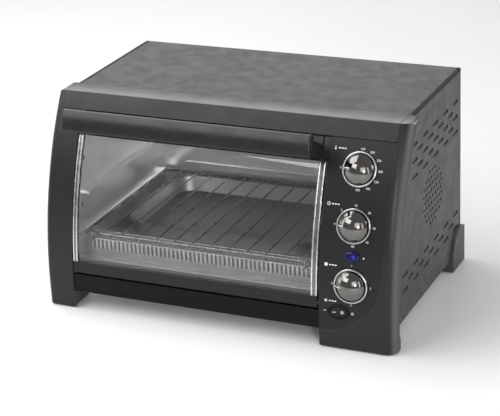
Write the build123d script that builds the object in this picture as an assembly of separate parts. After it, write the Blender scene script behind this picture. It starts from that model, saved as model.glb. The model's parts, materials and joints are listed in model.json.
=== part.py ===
from build123d import *
import math
import os

# Countertop toaster oven with a curved front: a drop-down glass door on the left, a control tower
# on the right, a wire rack, a pan, a rear-pulled crumb tray and a side convection fan.
# +X is the user's right, -Y is the front, +Z is up. The origin is on the counter, under the middle.

# ---- driving dimensions (mm) ----
WIDTH = 483.0            # across the moulded front
HEIGHT = 275.6
FRONT_Y = -149.6         # foremost plane of the front legs
REAR_Y = 149.3           # outer face of the back panel
BODY_HALF = 229.2        # half width of the sheet-metal body behind the moulded front
SEAM_Y = -45.8           # where the moulded header meets the sheet-metal top
SHEET = 1.0              # sheet-metal thickness
BODY_BOTTOM = 20.0       # underside of the body

ARC_R = 448.4            # side profile of the front: upright below ARC_Z, then this arc leaning back
ARC_Z = 32.1
ARC_Y = FRONT_Y + ARC_R
BROW_R = 12.0            # corner between the curved front and the flat top

LEFT_INNER = -203.2      # inner edges of the two front towers
RIGHT_INNER = 141.5
HEADER_LOW, HEADER_RIGHT, SEAM_GAP = 256.0, 224.6, 1.2
CORNER_LEFT_R, CORNER_RIGHT_R = 7.0, 16.0    # roundings of the towers' outer corners
RAIL_LOW, RAIL_HIGH = 24.6, 48.0

DOOR_X = (-201.5, 138.6)
DOOR_Z = (50.0, 253.4)
GLASS_X = (-195.3, 130.7)     # visible glass
GLASS_Z = (66.5, 227.0)
GLASS_T = 4.0
BAR_RIGHT, CORNER_X = 131.4, (132.8, 140.8)    # right end of the door's top rail
PIVOT_Y, PIVOT_Z = -141.5, 56.0
PIN_R, PIN_HOLE_R = 2.5, 2.56

CAVITY_X = (-206.0, 144.0)
CAVITY_Z = (57.0, 243.0)
CAVITY_BACK = 138.0
LINER_INSET = 12.0            # liner's front edge, behind the curved front

KNOB_X = 183.5
KNOB_Z = {"temperature": 223.0, "timer": 159.0, "toast": 86.5}
RING_R, KNOB_R, KNOB_H = 22.0, 18.7, 15.0
SHAFT_R, SHAFT_FIT = 3.0, 0.05
LENS_Z, LENS_SIZE = 122.5, (20.4, 13.2)
ROCKER_X, ROCKER_Z = 167.5, 50.5
ROCKER_BEZEL, ROCKER_HOLE, ROCKER_SIZE = (27.4, 18.6), (23.6, 14.8), (21.2, 13.2)
ROCKER_TILT = 8.0

HANDLE_X = (-200.4, 135.4)
HANDLE_FOOT, HANDLE_HEAD = (-150.0, 247.4), (-140.0, 273.8)    # lower and upper edge as (y, z)
HANDLE_DEPTH, HANDLE_BOW = 10.0, 2.2
POST_X = ((-192.0, -176.0), (113.0, 129.0))
POST_Z, POST_HEIGHT = 239.0, 18.0

VENT_LENGTH, VENT_WIDTH = 20.0, 4.2
VENT_PITCH_Y, VENT_PITCH_Z = 41.0, 10.4
FAN_Y, FAN_Z = 31.6, 142.6      # axis of both fans, through the right side
FAN_HOLE_PITCH, FAN_HOLE_R, FAN_FIELD_R = 10.2, 2.4, 40.0
FAN_COVER_R, FAN_COVER_HOLE_R = 36.0, 3.2
CAVITY_FAN_X, COOLING_FAN_X = (134.5, 141.5), (203.0, 213.0)
MOTOR_X, MOTOR_SIZE = (166.0, 194.0), 46.0

UPPER_ELEMENTS = [(-62.0, 226.0), (78.0, 226.0)]     # (y, z) of each heating rod
LOWER_ELEMENTS = [(-70.0, 62.5), (78.0, 62.5)]
ELEMENT_R, INSULATOR_R, INSULATOR_FLANGE_R = 3.5, 5.5, 8.0
RIBS_Z, RIB_Y, RIB_DEPTH = [(90.0, 94.6), (143.0, 147.6)], (-100.0, 130.0), 11.0
FAN_CLEAR_R = 40.0              # gap left in the upper right rack rail around the fan
GUARD_FRONT, GUARD_REAR, GUARD_TOP, GUARD_DECK = -122.0, -103.0, 92.6, 70.0
GUARD_X = (CAVITY_X[0] + 0.4, CAVITY_X[1] - 0.4)
GUARD_SLOT, GUARD_SLOT_PITCH, GUARD_SLOT_Z = (2.6, 12.5), 6.0, 84.6
GUARD_TOP_SLOT, GUARD_GROUP_PITCH = (2.6, 7.0), 32.0

RACK_Z, RACK_X, RACK_Y = 97.0, (-196.0, 134.0), (-119.0, 121.0)
RACK_RAIL_R, RACK_CROSS_R, RACK_WIRE_R, RACK_GAPS = 2.0, 1.6, 1.15, 13
PAN_X, PAN_Y, PAN_RIM, PAN_FLOOR = (-172.0, 98.0), (-54.0, 120.0), 92.0, 71.05
PAN_CORNER_R, PAN_WALL, PAN_FLARE, PAN_LIP = 27.0, 1.2, 5.0, 2.5
TRAY_X, TRAY_Z = (-201.0, 139.0), 52.0
TRAY_SLOT_Z = (50.5, 63.5)      # slot in the back panel for the crumb tray

FOOT_BACK, FOOT_HEIGHT = 161.3, 52.0    # rear feet, which also space the oven off a wall
FOOT_X = (204.0, 233.0)                 # inner and outer face of a rear foot
FOOT_R = 6.0
CHEEK_TOP, CHEEK_MID, CHEEK_LOW = (138.0, 57.0), (116.0, 43.0), (105.0, 22.0)    # (y, z) of its curved edge
PAD = 2.0                               # thickness of the rubber pads
GLAND_X, GLAND_Z = 186.0, 62.0
BACK_SCREWS = [(-215, 262), (0, 262), (215, 262), (-180, 34), (0, 34), (180, 34)]    # (x, z)
LINER_SCREWS = [(-92.0, 190.0), (-106.0, 130.0)]                                     # (y, z)

parts = {}


# ---- helpers ----
def block(x, y, z):
    """Box from three (low, high) pairs."""
    size = (x[1] - x[0], y[1] - y[0], z[1] - z[0])
    return Pos((x[0] + x[1]) / 2, (y[0] + y[1]) / 2, (z[0] + z[1]) / 2) * Box(*size)


def rod(radius, start, end):
    """Round bar between two points."""
    axis = Vector(*end) - Vector(*start)
    middle = Vector(*start) + axis * 0.5
    return Plane(origin=middle, z_dir=axis) * Cylinder(radius, axis.length)


def front_y(z, inset=0.0):
    """Y of the front surface at height z, moved inwards along its normal by inset."""
    if z <= ARC_Z:
        return FRONT_Y + inset
    return ARC_Y - math.sqrt((ARC_R - inset) ** 2 - (z - ARC_Z) ** 2)


def front_plane(x, z, inset=0.0):
    """Plane on the front surface: x to the user's right, z along the outward normal."""
    lean = math.asin(max(z - ARC_Z, 0.0) / ARC_R)
    normal = (0, -math.cos(lean), math.sin(lean))
    point = Vector(x, front_y(z), z) - Vector(*normal) * inset
    return Plane(origin=point, x_dir=(1, 0, 0), z_dir=normal)


def mass_behind(x, inset, low=0.0, back=SEAM_Y, high=HEIGHT, brow=BROW_R):
    """Solid behind the front profile moved inwards by inset, from x[0] to x[1]."""
    top = high - inset if brow else high
    start = max(low, ARC_Z)
    mid_z = (start + top) / 2
    with BuildSketch(Plane.YZ) as outline:
        with BuildLine():
            knee = (front_y(start, inset), start)
            peak = (front_y(top, inset), top)
            if low < ARC_Z:
                Line((knee[0], low), knee)
            ThreePointArc(knee, (front_y(mid_z, inset), mid_z), peak)
            Line((back, low), (knee[0], low))
            Line(peak, (back, top))
            Line((back, top), (back, low))
        make_face()
        if brow:
            corner = outline.vertices().sort_by_distance((0, peak[0], peak[1]))[0]
            fillet(corner, max(brow - inset, 2.0))
    solid = extrude(outline.sketch, amount=x[1] - x[0])
    return Pos(x[0], 0, 0) * solid


def band(x, z, near, far):
    """Curved strip of the front between two insets, cut off at two heights."""
    strip = mass_behind(x, near, back=120, brow=0) - mass_behind(x, far, low=-1, back=121, brow=0)
    return strip & block((x[0] - 1, x[1] + 1), (FRONT_Y - 5, 119), z)


def brow_band(x, near, far, low):
    """Curved strip that also turns over the brow and runs back to the header seam."""
    strip = mass_behind(x, near) - mass_behind(x, far, low=-1, back=SEAM_Y + 1)
    return strip & block((x[0] - 1, x[1] + 1), (FRONT_Y - 5, SEAM_Y), (low, HEIGHT + 1))


def panel_outline(grow=0.0):
    """Upright prism with the control panel's outline: straight sides and one large round corner."""
    left, high = RIGHT_INNER - grow, HEADER_LOW - SEAM_GAP + grow
    arc_x, arc_z, radius = 140.0, 104.0, 81.0 + grow
    foot_x = left + 5.0
    foot = (foot_x, arc_z - math.sqrt(radius ** 2 - (foot_x - arc_x) ** 2))
    slant = (arc_x + radius * math.sqrt(0.5), arc_z - radius * math.sqrt(0.5))
    with BuildSketch(Plane.XZ) as outline:
        with BuildLine():
            Line((left, high), (224.3 + grow, high))
            Line((224.3 + grow, high), (arc_x + radius, arc_z))
            ThreePointArc((arc_x + radius, arc_z), slant, foot)
            Line(foot, (left, foot[1]))
            Line((left, foot[1]), (left, high))
        make_face()
    return Pos(0, 60, 0) * extrude(outline.sketch, amount=260)


def rounded_tray(x, y, low, high, radius, wall, flare):
    """Open-topped pan with rounded corners and walls that lean out by flare."""
    cx, cy = (x[0] + x[1]) / 2, (y[0] + y[1]) / 2
    wide, deep = x[1] - x[0], y[1] - y[0]

    def body(inset, bottom, top):
        low_face = Pos(cx, cy, bottom) * RectangleRounded(
            wide - 2 * (inset + flare), deep - 2 * (inset + flare), radius - flare - inset / 2)
        high_face = Pos(cx, cy, top) * RectangleRounded(wide - 2 * inset, deep - 2 * inset, radius - inset)
        return loft([low_face, high_face])

    return body(0, low, high) - body(wall, low + wall, high + 0.001)


# ---- moulded front ----
def rounded_envelope(radius):
    """Whole front mass with its two upright outer edges rounded."""
    mass = mass_behind((-WIDTH / 2, WIDTH / 2), 0, low=-1)
    edges = [e for e in mass.edges()
             if abs(abs(e.center().X) - WIDTH / 2) < 0.01
             and e.center().Y < SEAM_Y - 0.5
             and e.center().Z > 0]
    return fillet(edges, radius)


def right_corner_mass():
    """Deep mass under the front arc whose right outer corner has the large rounding."""
    reach = 130.0
    deep = Pos(-1, FRONT_Y + reach / 2) * Rectangle(WIDTH + 2, reach)
    corner = deep.vertices().sort_by_distance((WIDTH / 2, FRONT_Y, 0))[0]
    section = Pos(0, 0, ARC_Z) * fillet(corner, CORNER_RIGHT_R)
    leaning = revolve(section, Axis((0, ARC_Y, ARC_Z), (-1, 0, 0)), revolution_arc=40)
    return leaning + extrude(section, ARC_Z + 2, dir=(0, 0, -1))


ENVELOPE = rounded_envelope(CORNER_LEFT_R)


def make_header():
    shell = brow_band((-230.9, HEADER_RIGHT), 0, 3.0, HEADER_LOW)
    lip = band((-227.5, HEADER_RIGHT - 0.6), (HEADER_LOW, HEADER_LOW + 3.0), 3.0, 11.0)
    return shell + lip


def make_leg(x):
    """Front leg: a shallow outer face and a deeper block under the body."""
    low, high = PAD, BODY_BOTTOM - 0.2
    face = block(x, (FRONT_Y, FRONT_Y + 17.0), (low, high))
    heel = block((max(x[0], -228.0), min(x[1], 228.0)), (FRONT_Y, FRONT_Y + 41.0), (low, high))
    return face + heel


def make_left_tower():
    flank = brow_band((-WIDTH / 2, -231.3), 0, 14.0, BODY_BOTTOM - 1.0)
    face = band((-WIDTH / 2, LEFT_INNER), (2.0, HEADER_LOW - SEAM_GAP), 0, 4.0)
    inner_wall = band((LEFT_INNER - 3.0, LEFT_INNER), (24.0, 250.0), 3.0, 11.5)
    tower = (flank + face + inner_wall + make_leg((-WIDTH / 2, -205.0))) & ENVELOPE
    groove = block((-250, -200), (FRONT_Y - 1, FRONT_Y + 0.8), (24.2, 25.2))
    pin_hole = rod(PIN_HOLE_R, (LEFT_INNER - 4, PIVOT_Y, PIVOT_Z), (LEFT_INNER + 1, PIVOT_Y, PIVOT_Z))
    return tower - groove - pin_hole


def make_right_tower():
    flank = brow_band((231.3, WIDTH / 2), 0, 14.0, BODY_BOTTOM - 1.0)
    end_cap = brow_band((HEADER_RIGHT + 0.5, 232.0), 0, 6.0, 230.0)
    face = band((RIGHT_INNER, WIDTH / 2), (2.0, HEADER_LOW - SEAM_GAP), 0, 6.0) - panel_outline(-5.0)
    inner_wall = band((RIGHT_INNER + 0.6, RIGHT_INNER + 3.6), (24.0, 250.0), 4.0, 11.5)
    tower = flank + end_cap + face + inner_wall + make_leg((RIGHT_INNER, WIDTH / 2))
    tower = tower & ENVELOPE & right_corner_mass()
    x = (RIGHT_INNER - 1, 230)
    pocket = mass_behind(x, -2.0, low=15, brow=0) - mass_behind(x, 3.8, low=14, back=SEAM_Y + 1, brow=0)
    tower -= panel_outline(0.3) & pocket
    pin_hole = rod(PIN_HOLE_R, (RIGHT_INNER - 1, PIVOT_Y, PIVOT_Z), (RIGHT_INNER + 5, PIVOT_Y, PIVOT_Z))
    return tower - pin_hole


def make_control_panel():
    slab = band((RIGHT_INNER, 230.0), (20.0, HEADER_LOW), 0.5, 3.6) & panel_outline()
    for z in KNOB_Z.values():
        slab -= front_plane(KNOB_X, z) * Cylinder(5.2, 20)
    lens_hole = Ellipse(LENS_SIZE[0] / 2 - 1.2, LENS_SIZE[1] / 2 - 1.2)
    slab -= front_plane(KNOB_X, LENS_Z) * extrude(lens_hole, 10, both=True)
    hole = Ellipse(ROCKER_HOLE[0] / 2 + 0.2, ROCKER_HOLE[1] / 2 + 0.2)
    return slab - front_plane(ROCKER_X, ROCKER_Z) * extrude(hole, 10, both=True)


def make_bottom_rail():
    x = (LEFT_INNER + 0.1, RIGHT_INNER - 0.1)
    return band(x, (RAIL_LOW, RAIL_HIGH), 1.0, 4.0) + band(x, (RAIL_LOW, RAIL_LOW + 3.0), 1.0, 24.0)


# ---- sheet-metal body ----
def slot_grid(rows, columns, first_y, pitch_y, first_z, pitch_z, keep=lambda y, z: True):
    """Staggered centres of vent slots on a side panel."""
    spots = []
    for row in range(rows):
        for column in range(columns):
            y = first_y - pitch_y * (column + 0.5 * (row % 2))
            z = first_z - pitch_z * row
            if keep(y, z):
                spots.append((y, z))
    return spots


UPPER_VENTS = slot_grid(5, 5, 127.0, VENT_PITCH_Y, 235.3, VENT_PITCH_Z, lambda y, z: y > -45)
LOWER_VENTS = slot_grid(3, 6, 127.0, VENT_PITCH_Y, 79.0, VENT_PITCH_Z, lambda y, z: y > -85)


def fan_hole_spots(field_radius):
    """Centres of the round holes in front of a fan, on a triangular grid."""
    spots = []
    step_z = FAN_HOLE_PITCH * math.sqrt(3) / 2
    for row in range(-5, 6):
        for column in range(-5, 6):
            y = FAN_HOLE_PITCH * (column + 0.5 * (row % 2))
            if math.hypot(y, row * step_z) < field_radius:
                spots.append((FAN_Y + y, FAN_Z + row * step_z))
    return spots


def punch_yz(panel, x, spots, shape):
    """Cut the same flat shape through a side panel at each (y, z)."""
    faces = Sketch() + [Pos(y, z) * shape for y, z in spots]
    return panel - Plane(origin=(x, 0, 0), x_dir=(0, 1, 0), z_dir=(1, 0, 0)) * extrude(faces, 6, both=True)


def make_side_panel(side):
    x = (BODY_HALF - SHEET, BODY_HALF) if side > 0 else (-BODY_HALF, -BODY_HALF + SHEET)
    panel = mass_behind(x, 7.0, low=BODY_BOTTOM, back=REAR_Y, high=262.0, brow=0)
    crown = block(x, (SEAM_Y + 0.3, REAR_Y), (261.5, HEIGHT))
    panel = panel + crown
    slot = SlotOverall(VENT_LENGTH, VENT_WIDTH)
    panel = punch_yz(panel, x[0], UPPER_VENTS + LOWER_VENTS, slot)
    if side > 0:
        panel = punch_yz(panel, x[0], fan_hole_spots(FAN_FIELD_R), Circle(FAN_HOLE_R))
    return panel


def make_top_panel():
    edge = BODY_HALF - SHEET - 0.05
    return block((-edge, edge), (SEAM_Y + 0.3, REAR_Y), (HEIGHT - SHEET, HEIGHT))


def make_back_panel():
    edge = BODY_HALF - SHEET - 0.05
    panel = block((-edge, edge), (REAR_Y - SHEET, REAR_Y), (BODY_BOTTOM, HEIGHT - SHEET - 0.05))
    panel -= block((-204.0, 142.0), (REAR_Y - 5, REAR_Y + 5), TRAY_SLOT_Z)
    panel -= rod(7.5, (GLAND_X, REAR_Y - 5, GLAND_Z), (GLAND_X, REAR_Y + 5, GLAND_Z))
    for column in range(9):
        for row in range(4):
            x, z = -120.0 + 30.0 * column, 190.0 + 14.0 * row
            panel -= Pos(x, REAR_Y, z) * Rot(90, 0, 0) * extrude(SlotOverall(20, 4.5), 5, both=True)
    for x, z in BACK_SCREWS:
        panel -= rod(1.9, (x, REAR_Y - 5, z), (x, REAR_Y + 5, z))
    return panel


def make_base_plate():
    edge = BODY_HALF - SHEET - 0.05
    plate = block((-edge, edge), (-124.0, REAR_Y - SHEET - 0.05), (BODY_BOTTOM, BODY_BOTTOM + SHEET))
    for column in range(8):
        for row in range(3):
            x, y = -160.0 + 40.0 * column, -60.0 + 60.0 * row
            plate -= Pos(x, y, BODY_BOTTOM) * extrude(SlotOverall(24, 5), 5, both=True)
    return plate


# ---- oven cavity ----
def make_liner_wall(side):
    inner = CAVITY_X[1] if side > 0 else CAVITY_X[0]
    x = (inner, inner + SHEET) if side > 0 else (inner - SHEET, inner)
    wall = mass_behind(x, LINER_INSET, low=CAVITY_Z[0] - 7, back=CAVITY_BACK, high=CAVITY_Z[1], brow=0)
    for y, z in UPPER_ELEMENTS + LOWER_ELEMENTS:
        wall -= rod(INSULATOR_R + 0.05, (inner - 5, y, z), (inner + 5, y, z))
    if side > 0:
        wall -= rod(5.0, (inner - 5, FAN_Y, FAN_Z), (inner + 5, FAN_Y, FAN_Z))
    for y, z in LINER_SCREWS:
        wall -= rod(1.6, (inner - 5, y, z), (inner + 5, y, z))
    return wall


def make_rack_supports():
    """Rails on both side walls that carry the rack; the upper right one stops at the fan."""
    left, right = CAVITY_X
    rails = []
    for z in RIBS_Z:
        rails.append(block((left, left + RIB_DEPTH), RIB_Y, z))
        rail = block((right - RIB_DEPTH, right), RIB_Y, z)
        rails += (rail - rod(FAN_CLEAR_R, (right - 15, FAN_Y, FAN_Z), (right + 1, FAN_Y, FAN_Z))).solids()
    return Compound(rails)


def make_liner_top():
    x = (CAVITY_X[0] + 0.05, CAVITY_X[1] - 0.05)
    return block(x, (-83.0, CAVITY_BACK - 0.05), (CAVITY_Z[1] - SHEET, CAVITY_Z[1]))


def make_liner_back():
    x = (CAVITY_X[0] - SHEET, CAVITY_X[1] + SHEET)
    wall = block(x, (CAVITY_BACK, CAVITY_BACK + SHEET), (64.5, CAVITY_Z[1]))
    bump = block((-180.0, 118.0), (CAVITY_BACK - 3.0, CAVITY_BACK + 0.5), (68.0, 106.0))
    bump = fillet(bump.edges().filter_by(Axis.Y), 14.0)
    return wall + bump


def make_front_sill():
    x = (CAVITY_X[0] + 0.1, CAVITY_X[1] - 0.1)
    face = block(x, (-130.5, -129.5), (50.0, 65.5))
    ledge = block(x, (-130.5, -122.6), (64.5, 65.5))
    return face + ledge


def make_element_guard():
    """Perforated sheet over the lower elements: a raised front edge and a flat deck behind it."""
    front = block(GUARD_X, (GUARD_FRONT, GUARD_FRONT + SHEET), (65.8, GUARD_TOP))
    top = block(GUARD_X, (GUARD_FRONT, GUARD_REAR), (GUARD_TOP - SHEET, GUARD_TOP))
    drop = block(GUARD_X, (GUARD_REAR - SHEET, GUARD_REAR), (GUARD_DECK, GUARD_TOP))
    deck = block(GUARD_X, (GUARD_REAR - SHEET, CAVITY_BACK - 3.2), (GUARD_DECK, GUARD_DECK + SHEET))
    guard = front + top + drop + deck
    centre = (GUARD_X[0] + GUARD_X[1]) / 2
    tall = Sketch() + [Pos(centre + GUARD_SLOT_PITCH * i, GUARD_SLOT_Z) * Rectangle(*GUARD_SLOT)
                       for i in range(-27, 28)]
    guard -= Pos(0, GUARD_FRONT + 3, 0) * (Plane.XZ * extrude(tall, 5))
    groups = [centre + GUARD_GROUP_PITCH * i + GUARD_SLOT_PITCH * j
              for i in range(-5, 6) for j in (-1, 0, 1)]
    small = Sketch() + [Pos(x, GUARD_FRONT + 7.5) * Rectangle(*GUARD_TOP_SLOT) for x in groups]
    guard -= Pos(0, 0, GUARD_TOP - 3) * extrude(small, 6)
    rows = [(x, y) for x in range(-190, 131, 20) for y in (-70, 78)]
    deck_slots = Sketch() + [Pos(x, y) * SlotOverall(12, 4) for x, y in rows]
    return guard - Pos(0, 0, GUARD_DECK - 3) * extrude(deck_slots, 6)


def make_elements(places):
    x = (CAVITY_X[0] - 9.0, CAVITY_X[1] + 9.0)
    return Compound([rod(ELEMENT_R, (x[0], y, z), (x[1], y, z)) for y, z in places])


def make_insulators():
    rings = []
    for y, z in UPPER_ELEMENTS + LOWER_ELEMENTS:
        for inner, out in ((CAVITY_X[0], -1), (CAVITY_X[1], 1)):
            sleeve = rod(INSULATOR_R, (inner - out * 3, y, z), (inner + out * 7, y, z))
            flange = rod(INSULATOR_FLANGE_R, (inner + out * 1.1, y, z), (inner + out * 4, y, z))
            bore = rod(ELEMENT_R + 0.05, (inner - out * 9, y, z), (inner + out * 9, y, z))
            rings.append((sleeve + flange - bore).solid())
    return Compound(rings)


# ---- fan ----
def make_blades(x, hub, tip, count, pitch):
    """Fan wheel on the fan axis: a hub and flat blades set at an angle to the disc."""
    middle, width = (x[0] + x[1]) / 2, x[1] - x[0]
    wheel = rod(hub, (x[0], FAN_Y, FAN_Z), (x[1], FAN_Y, FAN_Z))
    blade = Pos(0, 0, (hub + tip) / 2 - 0.5) * Rot(0, 0, pitch) * Box(1.0, 0.62 * tip, tip - hub + 1)
    limit = Rot(0, 90, 0) * Cylinder(tip, width)
    for i in range(count):
        wheel += Pos(middle, FAN_Y, FAN_Z) * ((Rot(360.0 * i / count, 0, 0) * blade) & limit)
    bore = rod(SHAFT_R + 0.02, (x[0] - 1, FAN_Y, FAN_Z), (x[1] + 1, FAN_Y, FAN_Z))
    return wheel - bore


def make_motor():
    half = MOTOR_SIZE / 2
    core_x = (MOTOR_X[0] + 6, MOTOR_X[1] - 6)
    core = block(core_x, (FAN_Y - half, FAN_Y + half), (FAN_Z - half, FAN_Z + half + 12))
    shell = rod(17.0, (MOTOR_X[0], FAN_Y, FAN_Z), (MOTOR_X[1], FAN_Y, FAN_Z))
    coil = block((MOTOR_X[0] + 1, MOTOR_X[1] - 1), (FAN_Y - 13, FAN_Y + 13), (FAN_Z + 22, FAN_Z + 34))
    bore = rod(SHAFT_R + SHAFT_FIT, (MOTOR_X[0] - 1, FAN_Y, FAN_Z), (MOTOR_X[1] + 1, FAN_Y, FAN_Z))
    return core + shell + coil - bore


def make_motor_bracket():
    plate_x = (MOTOR_X[0] + 4, MOTOR_X[0] + 5.8)
    plate = block(plate_x, (FAN_Y - 34, FAN_Y + 34), (FAN_Z - 10, FAN_Z + 10))
    plate -= rod(17.2, (plate_x[0] - 1, FAN_Y, FAN_Z), (plate_x[1] + 1, FAN_Y, FAN_Z))
    for out in (-1, 1):
        y = FAN_Y + out * 30
        plate += rod(3.0, (CAVITY_X[1] + SHEET, y, FAN_Z), (plate_x[0] + 0.5, y, FAN_Z))
    return plate


def make_fan_cover():
    """Shallow perforated dish over the fan inside the cavity."""
    x = (CAVITY_X[1] - 13.0, CAVITY_X[1])
    dish = rod(FAN_COVER_R, (x[0], FAN_Y, FAN_Z), (x[1], FAN_Y, FAN_Z))
    dish -= rod(FAN_COVER_R - SHEET, (x[0] + SHEET, FAN_Y, FAN_Z), (x[1] + 1, FAN_Y, FAN_Z))
    return punch_yz(dish, x[0], fan_hole_spots(FAN_COVER_R - 6.0), Circle(FAN_COVER_HOLE_R))


# ---- controls ----
def make_control(z, body_size, depth):
    """Rotary control behind the panel: a body and a round neck that holds the shaft."""
    wide, tall = body_size
    body = Pos(0, 0, -7.0 - depth / 2) * Box(wide, tall, depth)
    neck = Pos(0, 0, -2.6) * Cylinder(4.6, 9.2)
    bore = Cylinder(SHAFT_R + SHAFT_FIT, 200)
    return front_plane(KNOB_X, z) * (body + neck - bore)


def make_knob(z):
    """Domed knob with a round skirt, hollow underneath for the nut."""
    skirt_top, skirt_low = 5.5, 1.0
    rise = KNOB_H - skirt_top
    dome_r = (KNOB_R ** 2 + rise ** 2) / (2 * rise)
    dome = Pos(0, 0, (KNOB_H + skirt_low) / 2) * Cylinder(KNOB_R, KNOB_H - skirt_low)
    dome &= Pos(0, 0, KNOB_H - dome_r) * Sphere(dome_r)
    dome -= Pos(0, 0, 3.0) * Cylinder(12.0, 6.0)
    dome -= Pos(0, 0, 5.0) * Cylinder(SHAFT_R + 0.02, 10.0)
    return front_plane(KNOB_X, z) * dome


def make_knob_shaft(z):
    return front_plane(KNOB_X, z) * (Pos(0, 0, -8.0) * Cylinder(SHAFT_R, 35.0))


def make_knob_rings():
    rings = []
    for z in KNOB_Z.values():
        ring = Cylinder(RING_R, 3.4) - Cylinder(KNOB_R + 0.45, 10)
        ring = fillet(ring.edges().filter_by(GeomType.CIRCLE).group_by(Axis.Z)[-1], 1.2)
        rings.append((front_plane(KNOB_X, z) * (Pos(0, 0, 1.3) * ring)).solid())
    return Compound(rings)


def make_panel_nuts():
    nuts = []
    for z in KNOB_Z.values():
        nut = extrude(RegularPolygon(6.0, 6), 2.6) - Cylinder(4.65, 20)
        nuts.append((front_plane(KNOB_X, z) * (Pos(0, 0, -0.4) * nut)).solid())
    return Compound(nuts)


def make_indicator_lens():
    rim = extrude(Ellipse(LENS_SIZE[0] / 2, LENS_SIZE[1] / 2), 3.0)
    rim = fillet(rim.edges().group_by(Axis.Z)[-1], 2.4)
    plug = Pos(0, 0, -4) * extrude(Ellipse(LENS_SIZE[0] / 2 - 1.4, LENS_SIZE[1] / 2 - 1.4), 5)
    return front_plane(KNOB_X, LENS_Z, 0.45) * (rim + plug)


def make_indicator_lamp():
    return front_plane(KNOB_X, LENS_Z) * (Pos(0, 0, -12) * Cylinder(3.0, 14))


def make_bell():
    bell = Sphere(15.0) & Pos(0, 0, 10) * Box(40, 40, 20)
    bell -= Sphere(14.0)
    stem = rod(1.5, (0, -21.3, 4.0), (0, -13.0, 4.0))
    return Pos(KNOB_X, -74.0, 160.0) * (bell + stem)


def make_rocker_housing():
    bezel = extrude(Ellipse(ROCKER_BEZEL[0] / 2, ROCKER_BEZEL[1] / 2), 2.2)
    bezel = fillet(bezel.edges().group_by(Axis.Z)[-1], 1.2)
    sleeve = Pos(0, 0, -9) * extrude(Ellipse(ROCKER_HOLE[0] / 2 + 0.1, ROCKER_HOLE[1] / 2 + 0.1), 9.5)
    opening = Pos(0, 0, -8) * extrude(Ellipse(ROCKER_SIZE[0] / 2 + 0.9, ROCKER_SIZE[1] / 2 + 0.5), 12)
    box = Pos(0, 0, -15.5) * Box(24.0, 13.0, 13.0)
    return front_plane(ROCKER_X, ROCKER_Z, 0.45) * (bezel + sleeve + box - opening)


def make_rocker():
    paddle = Pos(0, 0, -5.5) * extrude(Ellipse(ROCKER_SIZE[0] / 2, ROCKER_SIZE[1] / 2), 8.6)
    paddle = fillet(paddle.edges().group_by(Axis.Z)[-1], 0.8)
    scoop = Pos(0, 0, 39.5) * Rot(90, 0, 0) * Cylinder(38.5, 40)
    return front_plane(ROCKER_X, ROCKER_Z, 0.45) * (Rot(0, ROCKER_TILT, 0) * (paddle - scoop))


# ---- door ----
def glass_slot(x, z):
    return band(x, z, 2.9, 3.1 + GLASS_T)


def make_door_glass():
    return band((DOOR_X[0] + 1.5, DOOR_X[1] - 1.5), (56.0, 240.0), 3.0, 3.0 + GLASS_T)


def make_door_top_frame():
    """Top rail of the door: a proud bar, and beyond it a level corner piece beside the panel."""
    bar = band((DOOR_X[0], BAR_RIGHT), (GLASS_Z[1], DOOR_Z[1]), 0.6, 8.6)
    web = band((BAR_RIGHT - 1.0, CORNER_X[1]), (GLASS_Z[1], DOOR_Z[1]), 5.0, 8.6)
    corner = band(CORNER_X, (GLASS_Z[1], DOOR_Z[1]), 1.5, 8.6)
    return bar + web + corner - glass_slot((DOOR_X[0] + 1.3, DOOR_X[1] - 1.3), (200.0, 240.2))


def make_door_bottom_frame():
    frame = band(DOOR_X, (DOOR_Z[0], GLASS_Z[0]), 1.5, 8.6)
    low = [e for e in frame.edges() if e.center().Z < DOOR_Z[0] + 0.1 and e.length > 300]
    frame = fillet(low, 3.0)
    frame -= glass_slot((DOOR_X[0] + 1.3, DOOR_X[1] - 1.3), (55.8, 90.0))
    for x in ((DOOR_X[0] - 1, DOOR_X[0] + 1.2), (DOOR_X[1] - 1.2, DOOR_X[1] + 1)):
        frame -= rod(PIN_R, (x[0], PIVOT_Y, PIVOT_Z), (x[1], PIVOT_Y, PIVOT_Z))
    return frame


def make_door_side_trims():
    trims = []
    for x in ((DOOR_X[0], GLASS_X[0]), (GLASS_X[1], DOOR_X[1])):
        trim = band(x, (GLASS_Z[0] + 0.05, GLASS_Z[1] - 0.05), 1.8, 8.4)
        trim -= glass_slot((DOOR_X[0] + 1.3, DOOR_X[1] - 1.3), (50.0, 240.0))
        trims.append(trim.solid())
    return Compound(trims)


def make_hinge_pins():
    left = rod(PIN_R, (DOOR_X[0] + 1.2, PIVOT_Y, PIVOT_Z), (LEFT_INNER - 2.6, PIVOT_Y, PIVOT_Z))
    right = rod(PIN_R, (DOOR_X[1] - 1.2, PIVOT_Y, PIVOT_Z), (RIGHT_INNER + 3.4, PIVOT_Y, PIVOT_Z))
    return Compound([left, right])


def make_handle():
    """Bar with a bowed outer face, set parallel to the door."""
    foot, head = Vector(*HANDLE_FOOT), Vector(*HANDLE_HEAD)
    along = (head - foot).normalized()
    inward = Vector(along.Y, -along.X)
    crown = (foot + head) * 0.5 - inward * HANDLE_BOW
    with BuildSketch(Plane.YZ) as section:
        with BuildLine():
            ThreePointArc(foot, crown, head)
            Line(head, head + inward * HANDLE_DEPTH)
            Line(head + inward * HANDLE_DEPTH, foot + inward * HANDLE_DEPTH)
            Line(foot + inward * HANDLE_DEPTH, foot)
        make_face()
        fillet(section.vertices(), 2.6)
    bar = Pos(HANDLE_X[0], 0, 0) * extrude(section.sketch, amount=HANDLE_X[1] - HANDLE_X[0])
    ends = [e for e in bar.edges()
            if min(abs(e.center().X - x) for x in HANDLE_X) < 0.01]
    return fillet(ends, 1.6)


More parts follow.
